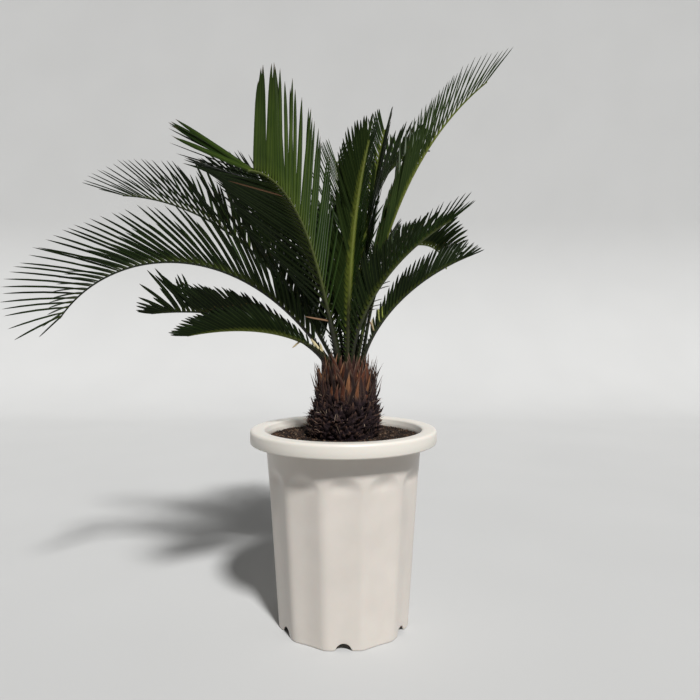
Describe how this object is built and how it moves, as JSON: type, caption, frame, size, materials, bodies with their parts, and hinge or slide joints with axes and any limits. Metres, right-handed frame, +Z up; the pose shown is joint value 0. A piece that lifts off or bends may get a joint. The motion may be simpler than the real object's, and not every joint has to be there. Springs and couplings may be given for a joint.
{
  "type": "potted sago palm",
  "caption": "Potted sago palm: arching leaflet fronds on a short scaly trunk, in a tall faceted plastic pot with a wide rolled rim, filled with dark bark soil.",
  "frame": {"origin": "on the ground, at the middle of the pot's base on the pot's axis", "axes": "+Z up along the pot's axis, -Y towards the front, +X to the right seen from the front"},
  "size_m": [0.739, 0.709, 0.8834],
  "materials": {
    "pot_plastic": "satin",
    "bark_soil": "matte",
    "leaf_base_bark": "matte",
    "scale_leaf_brown": "matte",
    "frond_green": "satin"
  },
  "bodies": {
    "root": {"pot": "pot_plastic", "soil": "bark_soil", "trunk": "leaf_base_bark", "scale_collar": "scale_leaf_brown", "frond_01": "frond_green", "frond_02": "frond_green", "frond_03": "frond_green", "frond_04": "frond_green", "frond_05": "frond_green", "frond_06": "frond_green", "frond_07": "frond_green", "frond_08": "frond_green", "frond_09": "frond_green", "frond_10": "frond_green", "frond_11": "frond_green", "frond_12": "frond_green", "frond_13": "frond_green", "frond_14": "frond_green", "frond_15": "frond_green", "frond_16": "frond_green", "frond_17": "frond_green"}
  },
  "joints": []
}
